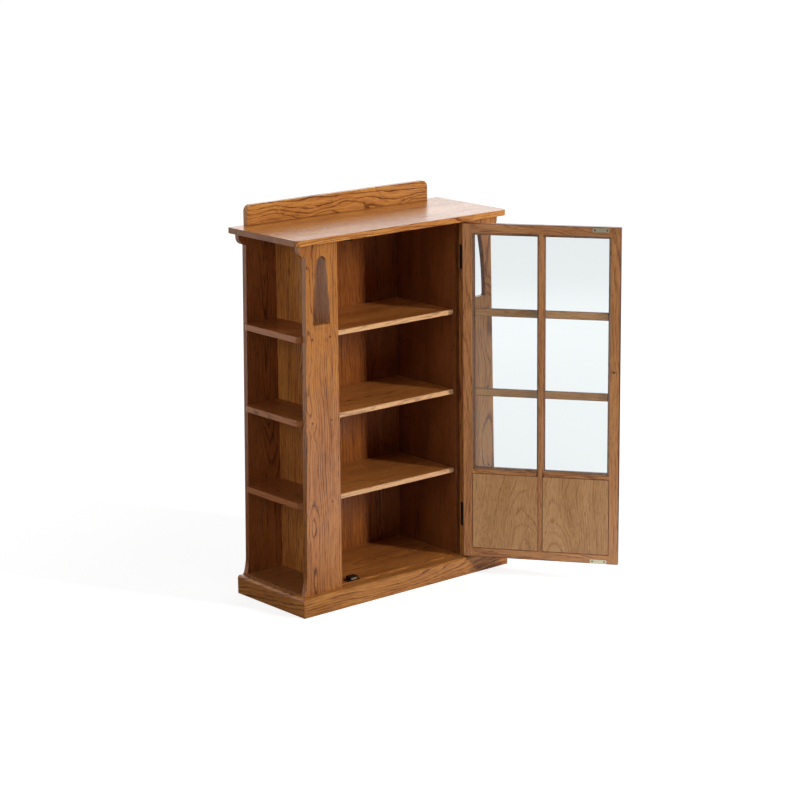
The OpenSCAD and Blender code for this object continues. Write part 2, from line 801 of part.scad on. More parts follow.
module muntin_sockets(z) {
    for (x = [[mull_x0 - 1, mull_x0 + stub_l], [mull_x1 - stub_l, mull_x1 + 1]])
        block([x[0], stub_y - stub_t / 2, z + stub_in],
            [x[1], stub_y + stub_t / 2, z + muntin_w - stub_in]);
}

// glazing bar with a stub tenon in the mullion; s = -1 left, 1 right column
module muntin(z, s) {
    x0 = s < 0 ? sight_x0 : mull_x1;
    x1 = s < 0 ? mull_x0 : sight_x1;
    color(c_door) open_door() {
        block([x0, door_front, z], [x1, layer_y, z + muntin_w]);
        block([x0 - (s < 0 ? 0 : stub_l), stub_y - stub_t / 2, z + stub_in],
            [x1 + (s < 0 ? stub_l : 0), stub_y + stub_t / 2, z + muntin_w - stub_in]);
    }
}

// fills the rebate of one column: s = -1 left, 1 right
module infill(s, z0, z1, t) {
    x0 = s < 0 ? sight_x0 - rebate_w : mull_x1 - rebate_mullion;
    x1 = s < 0 ? mull_x0 + rebate_mullion : sight_x1 + rebate_w;
    open_door() block([x0 + seam, layer_y, z0 + seam], [x1 - seam, layer_y + t, z1 - seam]);
}

module glass(s) {
    color(c_glass) infill(s, mid_z1 - rebate_w, sight_z1 + rebate_w, glass_t);
}

module panel(s) {
    color(c_door) infill(s, sight_z0 - rebate_w, mid_z0 + rebate_w, panel_t);
}

// outline of a strike plate whose middle is at height z
module strike_2d(z) {
    r = strike_corner;
    translate([-catch_x, z]) {
        square([strike_w, strike_h - 2 * r], center = true);
        square([strike_w - 2 * r, strike_h], center = true);
        for (u = [-1, 1]) for (v = [-1, 1])
            translate([u * (strike_w / 2 - r), v * (strike_h / 2 - r)]) circle(r = r, $fn = 32);
    }
}

// countersunk bore or head in a strike plate, wider at the plate's face
module strike_cone(x, z, wide, narrow) {
    translate([x, door_in, z]) rotate([-90, 0, 0])
        cylinder(d1 = narrow, d2 = wide, h = strike_t, $fn = 24);
}

module strike_plates() {
    color(c_steel) open_door() for (z = strike_zs) difference() {
        slab_xz(door_in, door_in + strike_t) strike_2d(z);
        for (x = strike_xs) strike_cone(x, z, head_d, small_d + 2 * fit);
    }
}

module strike_screws() {
    color(c_steel) open_door() for (z = strike_zs) for (x = strike_xs) {
        bar_y(x, door_in - small_l + 1, door_in, z, small_d);
        strike_cone(x, z, head_d - 2 * fit, small_d);
    }
}

// turned knob: foot, neck and a flattened ball
module knob() {
    color(c_door) open_door() translate([knob_x, door_front, knob_z]) rotate([90, 0, 0]) difference() {
        union() {
            cylinder(d = knob_foot_d, h = knob_foot_t, $fn = 48);
            cylinder(d = knob_neck_d, h = knob_l / 2, $fn = 48);
            intersection() {
                translate([0, 0, knob_ball_z]) sphere(d = knob_d, $fn = 48);
                translate([0, 0, knob_l / 2 - 1]) cylinder(d = knob_d + 1, h = knob_l / 2 + 1, $fn = 48);
            }
        }
        translate([0, 0, -1]) cylinder(d = screw_d + 2 * fit, h = knob_bore + 1, $fn = 16);
    }
}

module knob_screw() {
    color(c_steel) open_door() {
        bar_y(knob_x, door_front - knob_bore + 1, door_in + 1, knob_z, screw_d);
        bar_y(knob_x, door_in, door_in + 2.4, knob_z, 2 * screw_d, 24);
    }
}

plinth_front();
plinth_side(-1);  // plinth_left
plinth_side(1);  // plinth_right
plinth_back();
plinth_bearer();
bottom_board();
top_board();
backsplash();
front_board(-1);  // front_board_left
front_board(1);  // front_board_right
back_board(-1);  // back_board_left
back_board(1);  // back_board_right
partition(-1);  // partition_left
partition(1);  // partition_right
back_panel();
side_shelf(-1, shelf_tops[0]);  // side_shelf_left_lower
side_shelf(-1, shelf_tops[1]);  // side_shelf_left_middle
side_shelf(-1, shelf_tops[2]);  // side_shelf_left_upper
side_shelf(1, shelf_tops[0]);  // side_shelf_right_lower
side_shelf(1, shelf_tops[1]);  // side_shelf_right_middle
side_shelf(1, shelf_tops[2]);  // side_shelf_right_upper
inner_shelf(inner_tops[0]);  // inner_shelf_lower
inner_shelf(inner_tops[1]);  // inner_shelf_middle
inner_shelf(inner_tops[2]);  // inner_shelf_upper
shelf_pins();
plugs();
shelf_screws();
hinge_leaf(hinge_z[1], 1);  // hinge_leaf_case_upper
hinge_leaf(hinge_z[0], 1);  // hinge_leaf_case_lower
hinge_pins();
hinge_screws(1);  // hinge_screws_case
catch_housings();
catch_magnets();
catch_screws();
door_stile_hinge();
door_stile_free();
door_rail_top();
door_rail_middle();
door_rail_bottom();
door_mullion();
muntin(high_mun_z, -1);  // muntin_upper_left
muntin(high_mun_z, 1);  // muntin_upper_right
muntin(low_mun_z, -1);  // muntin_lower_left
muntin(low_mun_z, 1);  // muntin_lower_right
glass(-1);  // glass_left
glass(1);  // glass_right
panel(-1);  // panel_left
panel(1);  // panel_right
open_door() hinge_leaf(hinge_z[1], -1);  // hinge_leaf_door_upper
open_door() hinge_leaf(hinge_z[0], -1);  // hinge_leaf_door_lower
open_door() hinge_screws(-1);  // hinge_screws_door
strike_plates();
strike_screws();
knob();
knob_screw();
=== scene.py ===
# Dresses the display cabinet: every board gets softened edges and its own oak grain,
# the door its glass, and the hinges, catches and strike plates their metal.
import json
import math

import bmesh
import bpy
from mathutils import Matrix, Vector


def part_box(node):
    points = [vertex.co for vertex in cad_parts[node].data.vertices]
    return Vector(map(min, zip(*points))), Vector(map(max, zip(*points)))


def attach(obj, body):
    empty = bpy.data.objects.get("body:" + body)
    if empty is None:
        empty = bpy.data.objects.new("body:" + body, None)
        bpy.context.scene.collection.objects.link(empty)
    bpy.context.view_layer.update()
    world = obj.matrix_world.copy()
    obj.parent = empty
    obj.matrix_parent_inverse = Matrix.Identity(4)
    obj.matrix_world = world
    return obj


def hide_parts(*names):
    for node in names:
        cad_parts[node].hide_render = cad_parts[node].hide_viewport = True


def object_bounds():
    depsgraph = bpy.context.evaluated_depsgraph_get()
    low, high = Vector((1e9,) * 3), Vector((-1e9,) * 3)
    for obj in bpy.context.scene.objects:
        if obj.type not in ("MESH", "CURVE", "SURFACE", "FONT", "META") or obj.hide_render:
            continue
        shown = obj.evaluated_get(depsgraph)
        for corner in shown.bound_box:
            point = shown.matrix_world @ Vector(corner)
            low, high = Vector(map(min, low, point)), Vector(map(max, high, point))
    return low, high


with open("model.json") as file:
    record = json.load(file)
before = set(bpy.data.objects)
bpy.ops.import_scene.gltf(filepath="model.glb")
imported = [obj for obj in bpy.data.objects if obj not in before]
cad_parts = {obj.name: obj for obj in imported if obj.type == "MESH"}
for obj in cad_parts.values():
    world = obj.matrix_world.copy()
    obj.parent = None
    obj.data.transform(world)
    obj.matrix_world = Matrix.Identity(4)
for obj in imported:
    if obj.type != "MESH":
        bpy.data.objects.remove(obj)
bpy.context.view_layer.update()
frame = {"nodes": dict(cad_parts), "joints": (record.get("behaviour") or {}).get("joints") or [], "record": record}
nodes = frame["nodes"]
MM = 0.001
X, Y, Z = 0, 1, 2


# ---------- colour and node helpers ----------

def linear(colour):
    """An sRGB hex colour such as 'B07A45' as linear RGBA."""
    parts = [int(colour[i:i + 2], 16) / 255 for i in (0, 2, 4)]
    return [p / 12.92 if p <= 0.04045 else ((p + 0.055) / 1.055) ** 2.4 for p in parts] + [1.0]


def add(tree, kind, inputs=None, stops=None, **settings):
    """Adds a node. Each input takes a value, or the node or output that feeds it."""
    made = tree.nodes.new(kind)
    for name, value in settings.items():
        setattr(made, name, value)
    for key, value in (inputs or {}).items():
        if isinstance(value, bpy.types.Node):
            value = value.outputs[0]
        if isinstance(value, bpy.types.NodeSocket):
            tree.links.new(value, made.inputs[key])
        else:
            made.inputs[key].default_value = value
    for i, (place, colour) in enumerate(stops or []):
        stop = made.color_ramp.elements[i] if i < 2 else made.color_ramp.elements.new(place)
        stop.position = place
        stop.color = linear(colour)
    return made


def new_material(name):
    """An empty material, its node tree and its output node."""
    material = bpy.data.materials.new(name)
    material.use_nodes = True
    tree = material.node_tree
    tree.nodes.clear()
    return material, tree, add(tree, "ShaderNodeOutputMaterial")


# ---------- oak ----------

# the open door's boards run along the door, so their grain is turned with it
door_swing = [joint for joint in frame["joints"] if joint["name"] == "door_hinge"][0]
DOOR_TURN = -math.radians(door_swing["range_deg"][0])

FULL_STRAY = 4.4                  # brings a noise's usual swing of 0.23 each way up to 1
STAVE_DEEP, STAVE_FAR = 0.4, 3.0  # staves' places in the log: share of depth, and m along it
LOG_APART, LOG_SEED = 1.7, 7.31   # from one board's log to the next: m along it, and its chance
RIPPLE, YEARS = 0.7, 1.7          # fine and slow unevenness of the rings, in ring spacings
RING_DARK = 0.58                  # what a full ring line takes off the tone


def oak(name, lie, middle, heart, tones, turn=0.0, ring=5.0, lean=(2.0, 1.0), wander=9.0,
        bend=(9.0, 2.8), stave=(1.0, 0.5, 0.0), lot=0.0, rough=0.3, lines=1.0, edge_light=None,
        joint=None):
    """Stained oak, planed and lacquered: arched rings whose open-pored edge took the stain dark.

    lie = axes (across, depth, along) of the board and middle its centre; heart = place of the
    log's heart from that centre, across and deep, in mm; tones = (ring line, middle, late wood,
    open pores); turn = how far the board is turned about Z; ring = ring spacing and wander = how
    far rings stray, in mm; lean = tilt of the board in the log, in degrees; bend = strays per
    metre, across and along; stave = (width of a glued stave in m, its share before the first
    joint, how far hearts differ in m); lot picks the log; rough = roughness of the lacquer;
    lines = strength of the ring lines; edge_light = (where it starts across the board, in m, and
    colour) of a painted highlight along the low edge, where the light catches it; joint = (half
    width, half length, colour): darker within 2 mm of those distances from the centre, in m, and
    beyond them, as a real stain at the door's rims and the top's ends, and as painted shade at
    the left partition's seams and on the bay floor.
    """
    material, tree, output = new_material(name)
    where = add(tree, "ShaderNodeTexCoord").outputs["Object"]
    turned = add(tree, "ShaderNodeVectorRotate", {"Vector": where, "Angle": -turn},
                 rotation_type="Z_AXIS")
    apart = add(tree, "ShaderNodeSeparateXYZ", {"Vector": turned})
    board = add(tree, "ShaderNodeCombineXYZ", {i: apart.outputs[axis] for i, axis in enumerate(lie)})
    centre = [middle[axis] for axis in lie]
    inside = add(tree, "ShaderNodeVectorMath", {0: board, 1: centre}, operation="SUBTRACT")
    # each glued stave is cut from its own place in the log
    width = add(tree, "ShaderNodeSeparateXYZ", {"Vector": inside})
    number = add(tree, "ShaderNodeMath", {0: width, 1: 1 / stave[0], 2: stave[1]},
                 operation="MULTIPLY_ADD")
    whole = add(tree, "ShaderNodeMath", {0: number, 1: lot}, operation="FLOOR")
    seeded = add(tree, "ShaderNodeMath", {0: whole, 1: lot * LOG_SEED}, operation="ADD")
    chance = add(tree, "ShaderNodeTexWhiteNoise", {"W": seeded}, noise_dimensions="1D")
    swing = add(tree, "ShaderNodeVectorMath", {0: chance.outputs["Color"], 1: (0.5, 0.5, 0.0)},
                operation="SUBTRACT")
    shift = add(tree, "ShaderNodeVectorMath",
                {0: swing, 1: (stave[2], stave[2] * STAVE_DEEP, STAVE_FAR)}, operation="MULTIPLY")
    moved = add(tree, "ShaderNodeVectorMath", {0: inside, 1: shift}, operation="ADD")
    log = add(tree, "ShaderNodeMapping",
              {"Vector": moved, "Location": (-heart[0] * MM, -heart[1] * MM, lot * LOG_APART),
               "Rotation": (math.radians(lean[0]), math.radians(lean[1]), 0.0)})
    # the log wanders, so that the rings arch, wave and close
    calm = add(tree, "ShaderNodeMapping", {"Vector": log, "Scale": (bend[0], bend[0], bend[1])})
    slow = add(tree, "ShaderNodeTexNoise",
               {"Vector": calm, "Scale": 1.0, "Detail": 1.5, "Roughness": 0.45})
    drift = add(tree, "ShaderNodeVectorMath", {0: slow.outputs["Color"], 1: (0.5, 0.5, 0.5)},
                operation="SUBTRACT")
    stray = FULL_STRAY * wander * MM
    push = add(tree, "ShaderNodeVectorMath", {0: drift, 1: (stray, stray, 0.0)}, operation="MULTIPLY")
    place = add(tree, "ShaderNodeVectorMath", {0: log, 1: push}, operation="ADD")
    flat = add(tree, "ShaderNodeVectorMath", {0: place, 1: (1.0, 1.0, 0.0)}, operation="MULTIPLY")
    radius = add(tree, "ShaderNodeVectorMath", {0: flat}, operation="LENGTH").outputs["Value"]
    close = add(tree, "ShaderNodeMapping", {"Vector": place, "Scale": (60.0, 60.0, 16.0)})
    ripple = add(tree, "ShaderNodeTexNoise",
                 {"Vector": close, "Scale": 1.0, "Detail": 2.0, "Roughness": 0.6})
    steps = add(tree, "ShaderNodeMath", {0: radius, 1: 1 / (ring * MM)}, operation="MULTIPLY")
    rippled = add(tree, "ShaderNodeMath", {0: ripple, 1: RIPPLE, 2: steps}, operation="MULTIPLY_ADD")
    # some years are wide and some narrow
    years = add(tree, "ShaderNodeTexNoise", {"W": rippled, "Scale": 0.55, "Detail": 1.0},
                noise_dimensions="1D")
    count = add(tree, "ShaderNodeMath", {0: years, 1: YEARS, 2: rippled}, operation="MULTIPLY_ADD")
    part = add(tree, "ShaderNodeMath", {0: count}, operation="FRACT")
    # fibres 4 mm wide and 90 mm long, pores 2.3 mm wide and 36 mm long, drawn coarse to show
    thin = add(tree, "ShaderNodeMapping", {"Vector": place, "Scale": (270.0, 270.0, 11.0)})
    fibre = add(tree, "ShaderNodeTexNoise",
                {"Vector": thin, "Scale": 1.0, "Detail": 3.0, "Roughness": 0.8})
    short = add(tree, "ShaderNodeMapping", {"Vector": place, "Scale": (430.0, 430.0, 28.0)})
    dashes = add(tree, "ShaderNodeTexNoise", {"Vector": short, "Scale": 1.0, "Detail": 1.5})
    # the stain took unevenly, in clouds a hand wide
    wide = add(tree, "ShaderNodeMapping", {"Vector": log, "Scale": (14.0, 14.0, 2.5)})
    cloud = add(tree, "ShaderNodeTexNoise", {"Vector": wide, "Scale": 1.0, "Detail": 2.0})
    line = add(tree, "ShaderNodeValToRGB", {"Fac": part},
               stops=[(0.0, "E8E8E8"), (1.0, "404040"), (0.08, "FFFFFF"), (0.22, "909090"),
                      (0.38, "202020"), (0.75, "000000")])
    fine = add(tree, "ShaderNodeMapRange", {"Value": fibre, "From Min": 0.32, "From Max": 0.68,
                                            "To Min": -0.31, "To Max": 0.31})
    broad = add(tree, "ShaderNodeMapRange", {"Value": cloud, "From Min": 0.3, "From Max": 0.7,
                                             "To Min": 0.50, "To Max": 0.86})
    torn = add(tree, "ShaderNodeMapRange", {"Value": dashes, "From Min": 0.34, "From Max": 0.62,
                                            "To Min": 0.62, "To Max": 1.15})
    edge = add(tree, "ShaderNodeMath", {0: line, 1: torn}, operation="MULTIPLY")
    light = add(tree, "ShaderNodeMath", {0: fine, 1: broad}, operation="ADD")
    tone = add(tree, "ShaderNodeMath", {0: edge, 1: -RING_DARK * lines, 2: light},
               operation="MULTIPLY_ADD", use_clamp=True)
    wood = add(tree, "ShaderNodeValToRGB", {"Fac": tone},
               stops=[(0.0, tones[0]), (1.0, tones[2]), (0.55, tones[1])])
    deep = add(tree, "ShaderNodeMapRange", {"Value": dashes, "From Min": 0.56, "From Max": 0.70,
                                            "To Min": 0.0, "To Max": 0.75})
    crowd = add(tree, "ShaderNodeMapRange", {"Value": line, "From Min": 0.0, "From Max": 0.5,
                                             "To Min": 0.4, "To Max": 1.0})
    pores = add(tree, "ShaderNodeMath", {0: deep, 1: crowd}, operation="MULTIPLY")
    inked = add(tree, "ShaderNodeMix", {"Factor": pores, "A": wood, "B": linear(tones[3])},
                data_type="RGBA")
    colour = inked.outputs["Result"]
    if edge_light is not None:
        # painted highlight along the edge, where the light catches it, but less where the grain is dark
        front = add(tree, "ShaderNodeMapRange",
                    {"Value": width, "From Min": edge_light[0], "From Max": edge_light[0] - 1.5 * MM})
        streak = add(tree, "ShaderNodeMapRange", {"Value": tone, "From Min": 0.15, "From Max": 0.6,
                                                  "To Min": 0.5, "To Max": 1.12})
        wear_and_highlight = add(tree, "ShaderNodeMath", {0: front, 1: streak}, operation="MULTIPLY", use_clamp=True)
        pale = add(tree, "ShaderNodeMix", {"Factor": wear_and_highlight, "A": colour, "B": linear(edge_light[1])},
                   data_type="RGBA", blend_type="SCREEN")
        colour = pale.outputs["Result"]
    if joint is not None:
        near = [add(tree, "ShaderNodeMath", {0: width.outputs[side], 1: 0.0}, operation="ABSOLUTE")
                for side in (0, 2)]
        rims = [add(tree, "ShaderNodeMapRange",
                    {"Value": far, "From Min": half - 2.4 * MM, "From Max": half - 0.6 * MM})
                for far, half in zip(near, joint[:2])]
        rim = add(tree, "ShaderNodeMath", {0: rims[0], 1: rims[1]}, operation="MAXIMUM")
        dark = add(tree, "ShaderNodeMix", {"Factor": rim, "A": colour, "B": linear(joint[2])},
                   data_type="RGBA", blend_type="MULTIPLY")
        colour = dark.outputs["Result"]
    sunk = add(tree, "ShaderNodeMath", {0: edge, 1: 0.4, 2: pores}, operation="MULTIPLY_ADD")
    relief = add(tree, "ShaderNodeMath", {0: fine, 1: sunk}, operation="SUBTRACT")
    bump = add(tree, "ShaderNodeBump", {"Height": relief, "Strength": 0.35, "Distance": 0.3 * MM})
    satin = add(tree, "ShaderNodeMapRange",
                {"Value": tone, "To Min": rough + 0.08, "To Max": rough - 0.04})
    surface = add(tree, "ShaderNodeBsdfPrincipled",
                  {"Base Color": colour, "Roughness": satin, "IOR": 1.5, "Normal": bump})
    tree.links.new(surface.outputs[0], output.inputs["Surface"])
    return material


# Stains, from board to board a little apart: ring line, middle, late wood, open pores.
HONEY = ("5E2E12", "A86A34", "C88C48", "42200C")
FRONT = ("5A2B11", "A66631", "BF7E3D", "40200C")
SIDE = ("623013", "B36D34", "D69248", "44210D")
TOP = ("6A3511", "BA753A", "DA9A4E", "4C250C")
UPSTAND = ("653211", "B17037", "D1944B", "482310")
SHELF = ("5A2E10", "AE6A32", "CC8A46", "3E1E0C")
LOW_SHELF = ("572A0F", "A6642F", "C38543", "3B1C0C")
# darker, inside the case and in the bays: painted shade, for the shade that falls there; SHADE, the darkest, is
# painted shade on the right partition's inside, which lies in deep shade
BACK = ("50280E", "925226", "AC6A31", "381C0B")
INSIDE = ("522810", "945228", "AE6A34", "381C0C")
SHADE = ("44200C", "723E1C", "8A522A", "2E1608")
# greyer and paler, on the door: painted light and a painted pale sheen, for the bright light on the open door's
# inside
DOOR = ("704020", "B57845", "CF935C", "562E14")
PANEL = ("96653A", "B68350", "CF9F6C", "835632")
# painted highlights along the shelves' edges, where the light catches them: how wide, in mm, and their colour
INNER_HIGHLIGHT, BAY_HIGHLIGHT = (5.0, "B48C6A"), (1.6, "8A4C25")
# the darker stain of the door's rims and the top's ends; painted shade along the left partition's seams and on the
# bay floor
DOOR_RIM, TOP_END, SEAM_SHADE, BAY_FLOOR_SHADE = "8A6048", "D4C2B0", "64463A", "DCDCE6"

# each board: axes across, depth and along, tones, place of the heart, and what sets it apart
CATHEDRAL = dict(ring=6.5, lean=(1.0, 0.3), bend=(7.0, 4.0), wander=10.0)
STAVES = dict(stave=(0.095, 0.4, 0.09), lines=0.8)
DOOR_LINES = 0.65                 # fainter rings on the door
BOARDS = {
    "plinth_front": ((Z, Y, X), HONEY, (60, 30), dict(lean=(0.8, 1.2), ring=4.5, bend=(6.0, 2.0))),
    "plinth_left": ((Z, X, Y), SIDE, (6, 34), dict(lean=(0.5, 9.0), ring=6.0, bend=(6.0, 3.0))),
    "plinth_right": ((Z, X, Y), SIDE, (-6, -34), dict(lean=(0.5, 9.0), ring=6.0, bend=(6.0, 3.0))),
    "plinth_back": ((Z, Y, X), HONEY, (70, 60), {}),
    "plinth_bearer": ((X, Z, Y), HONEY, (50, 60), {}),
    "bottom_board": ((Y, Z, X), SHELF, (0, -70), dict(STAVES, lines=1.0)),
    "top_board": ((Y, Z, X), TOP, (-140, -90), dict(stave=(0.112, 0.5, 0.09), rough=0.24, lines=1.2)),
    "backsplash": ((Z, Y, X), UPSTAND, (2, 14), dict(lean=(0.5, 0.8), ring=9.0, wander=15.0,
                                                     bend=(10.0, 4.5), lines=1.2)),
    "front_board_left": ((X, Y, Z), FRONT, (-22, 20),
                         dict(CATHEDRAL, stave=(0.105, 0.55, 0.075), lines=1.1)),
    "front_board_right": ((X, Y, Z), HONEY, (22, 20),
                          dict(CATHEDRAL, stave=(0.105, 0.45, 0.075), lines=1.1)),
    # the boards inside the case and in the bays carry painted shade in their darker tones
    "back_board_left": ((X, Y, Z), INSIDE, (40, -50), {}),
    "back_board_right": ((X, Y, Z), INSIDE, (-40, -50), {}),
    "partition_left": ((Y, X, Z), SIDE, (30, 60), dict(STAVES, rough=0.34)),
    "partition_right": ((Y, X, Z), SHADE, (30, -60), STAVES),
    "back_panel": ((X, Y, Z), BACK, (0, 70), dict(stave=(0.078, 0.5, 0.1), lines=0.7)),
    "knob": ((X, Y, Z), DOOR, (40, 60), {}),
}
for side in ("left", "right"):
    # the right shelves are turned end for end, so that their painted highlight lies on the outer edge too
    for level in ("lower", "middle", "upper"):
        low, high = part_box(f"side_shelf_{side}_{level}")
        BOARDS[f"side_shelf_{side}_{level}"] = ((X, Z, Y), INSIDE, (30, -50), dict(
            turn=0.0 if side == "left" else math.pi,
            edge_light=((low[X] - high[X]) / 2 + BAY_HIGHLIGHT[0] * MM, BAY_HIGHLIGHT[1])))
    BOARDS["panel_" + side] = ((X, Y, Z), PANEL, (60 if side == "left" else -60, 26), dict(
        turn=DOOR_TURN, lean=(5.0, 0.5), ring=6.0, wander=11.0, bend=(6.0, 3.5), lines=DOOR_LINES))
    for level in ("lower", "upper"):
        BOARDS[f"muntin_{level}_{side}"] = ((Z, Y, X), PANEL, (50, 60), dict(turn=DOOR_TURN, lines=0.5))
# the inner shelves' front edges get a painted highlight, where the light catches them
for level in ("lower", "middle", "upper"):
    low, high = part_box("inner_shelf_" + level)
    BOARDS["inner_shelf_" + level] = (
        (Y, Z, X), LOW_SHELF if level == "lower" else SHELF, (0, -70),
        dict(STAVES, edge_light=((low[Y] - high[Y]) / 2 + INNER_HIGHLIGHT[0] * MM, INNER_HIGHLIGHT[1])))
# the door's boards carry painted light and sheen in their paler, greyer tones
for place in ("stile_hinge", "stile_free", "mullion"):
    BOARDS["door_" + place] = ((X, Y, Z), DOOR, (50, 60), dict(turn=DOOR_TURN, lines=DOOR_LINES))
for place in ("top", "middle", "bottom"):
    BOARDS["door_rail_" + place] = ((Z, Y, X), DOOR, (50, 60), dict(turn=DOOR_TURN, lines=DOOR_LINES))


# ---------- boards ----------

MERGE = 0.002 * MM                # corners closer than this are one
FLAT = math.radians(0.6)          # faces that differ less are one face
SANDED, STEPS = math.radians(35), 2    # edges sharper than this are sanded, in so many steps
CREASE, HEAD_CREASE = math.radians(50), math.radians(32)    # sharp edges of boards, of fasteners


def copy_of(node, name):
    """A merged copy of a CAD node's mesh in a new object at the origin."""
    mesh = nodes[node].data.copy()
    mesh.name = name
    mesh.materials.clear()
    work = bmesh.new()
    work.from_mesh(mesh)
    bmesh.ops.remove_doubles(work, verts=work.verts, dist=MERGE)
    bmesh.ops.dissolve_limit(work, angle_limit=FLAT, verts=work.verts, edges=work.edges)
    work.to_mesh(mesh)
    work.free()
    made = bpy.data.objects.new(name, mesh)
    bpy.context.scene.collection.objects.link(made)
    return made


def bake(made):
    """Applies the object's modifiers, so that its mesh holds the finished shape."""
    bpy.context.view_layer.update()
    shaped = bpy.data.meshes.new_from_object(made.evaluated_get(bpy.context.evaluated_depsgraph_get()))
    made.modifiers.clear()
    made.data = shaped
    return made


def softened(node, radius):
    """The board with its sharp arrises sanded to a small radius."""
    made = copy_of(node, "soft_" + node)
    bevel = made.modifiers.new("arris", "BEVEL")
    bevel.width = radius
    bevel.segments = STEPS
    bevel.limit_method = "ANGLE"
    bevel.angle_limit = SANDED
    bake(made)
    for face in made.data.polygons:
        face.use_smooth = True
    made.data.set_sharp_from_angle(angle=CREASE)
    flat = made.modifiers.new("flat faces", "WEIGHTED_NORMAL")
    flat.mode = "FACE_AREA"
    flat.weight = 100
    flat.keep_sharp = True
    return bake(made)


body_of_node = {}
for body, members in frame["record"]["behaviour"]["bodies"].items():
    for member in members:
        body_of_node[member] = body

# how round the arrises are, in mm: most boards', and those that differ
ARRIS = 0.8
ARRISES = {"top_board": 2.0, "backsplash": 1.6, "plinth_front": 1.0, "plinth_left": 1.0,
           "plinth_right": 1.0, "inner_shelf_lower": 2.5, "inner_shelf_middle": 2.5,
           "inner_shelf_upper": 2.5, "back_panel": 0.25}
NO_RIM = 1.0                      # m, past the edge of every board
SEAM_SHADE_WIDE = 2.0                   # mm, how much of the partition the painted shade at its seams takes
bay_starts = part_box("partition_right")[1][X]    # from here outwards the bottom board is bay floor

for lot, (node, (lie, tones, heart, apart)) in enumerate(BOARDS.items()):
    made = softened(node, ARRISES.get(node, ARRIS) * MM)
    turn = apart.get("turn", 0.0)
    back = Matrix.Rotation(-turn, 3, "Z")
    spots = [back @ vert.co for vert in made.data.vertices]
    low = [min(spot[i] for spot in spots) for i in range(3)]
    high = [max(spot[i] for spot in spots) for i in range(3)]
    middle = [(a + b) / 2 for a, b in zip(low, high)]
    halves = [(high[lie[i]] - low[lie[i]]) / 2 for i in (0, 2)]
    # painted shade along the left partition's seams and on the bay floor, where shade falls; a real darker stain
    # at the top's ends
    rims = {"partition_left": (halves[0] - SEAM_SHADE_WIDE * MM, NO_RIM, SEAM_SHADE),
            "bottom_board": (NO_RIM, bay_starts, BAY_FLOOR_SHADE),
            "top_board": (NO_RIM, halves[1], TOP_END)}
    if tones in (DOOR, PANEL) and node != "knob":
        rims[node] = (*halves, DOOR_RIM)
    if node in rims:
        apart = dict(apart, joint=rims[node])
    made.data.materials.clear()
    made.data.materials.append(
        oak("oak_lacquered_" + node, lie, middle, heart, tones, lot=lot, **apart))
    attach(made, body_of_node[node])
    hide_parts(node)


# ---------- plain materials for glass and metal ----------

def clear_glass():
    """Float glass: clear with a faint cool tint and a hard reflection; lamps shine through it."""
    tint = linear("E4E9EA")
    material, tree, output = new_material("float_glass_clear")
    glass = add(tree, "ShaderNodeBsdfPrincipled",
                {"Base Color": tint, "Roughness": 0.0, "IOR": 1.5, "Transmission Weight": 1.0})
    through = add(tree, "ShaderNodeBsdfTransparent", {"Color": tint})
    path = add(tree, "ShaderNodeLightPath")
    mix = add(tree, "ShaderNodeMixShader", {0: path.outputs["Is Shadow Ray"], 1: glass, 2: through})
    tree.links.new(mix.outputs[0], output.inputs["Surface"])
    return material


WEAR = 0.1                        # how far patches of wear are rougher or smoother


def metal(name, colour, rough, metallic=1.0):
    """Plated or blackened steel, rougher and smoother in patches of wear about 4 mm wide."""
    material, tree, output = new_material(name)
    where = add(tree, "ShaderNodeTexCoord").outputs["Object"]
    wear_and_highlight = add(tree, "ShaderNodeTexNoise",
               {"Vector": where, "Scale": 260.0, "Detail": 3.0, "Roughness": 0.6})
    spread = add(tree, "ShaderNodeMapRange", {"Value": wear_and_highlight, "From Min": 0.3, "From Max": 0.7,
                                              "To Min": rough - WEAR, "To Max": rough + WEAR})
    surface = add(tree, "ShaderNodeBsdfPrincipled",
                  {"Base Color": linear(colour), "Metallic": metallic, "Roughness": spread})
    tree.links.new(surface.outputs[0], output.inputs["Surface"])
    return material


FINISH = {
    "glass": clear_glass(),
    # hinges, blackened hot: nearly black and dull, its oxide only partly like a metal
    "black_steel": metal("steel_blackened", "2A2522", 0.5, 0.6),
    # strike plates, magnets and shelf pins: pale, a little yellow, with blurred lights
    "nickel_steel": metal("steel_nickel_plated", "C4BDA2", 0.4),
    # screws of the knob, strikes and catches, dull with age: mid grey and blurred
    "zinc_steel": metal("steel_zinc_aged", "6E6760", 0.42),
    # catches, pressed from dark sheet: dark, with a low shine
    "catch_steel": metal("steel_dark_pressed", "3A3430", 0.38, 0.8),
    # plugs over the shelf screws: end grain drinks the stain and reads as dark dots
    "oak_plugs": oak("oak_end_grain_plug", (X, Z, Y), (0, 0, 0), (100, 100),
                     ("4E2A12", "6A3D1E", "7E4C28", "3A1E0C")),
}
for part in frame["record"]["subparts"]:
    if part["material_slot"] in FINISH:
        mesh = nodes[part["node"]].data
        mesh.materials.clear()
        mesh.materials.append(FINISH[part["material_slot"]])


# ---------- fasteners ----------

SIDES = 24                        # of every turned part
ARM, CUT = 0.28, 0.6              # a cross recess's arm and its boxes' height, per its width


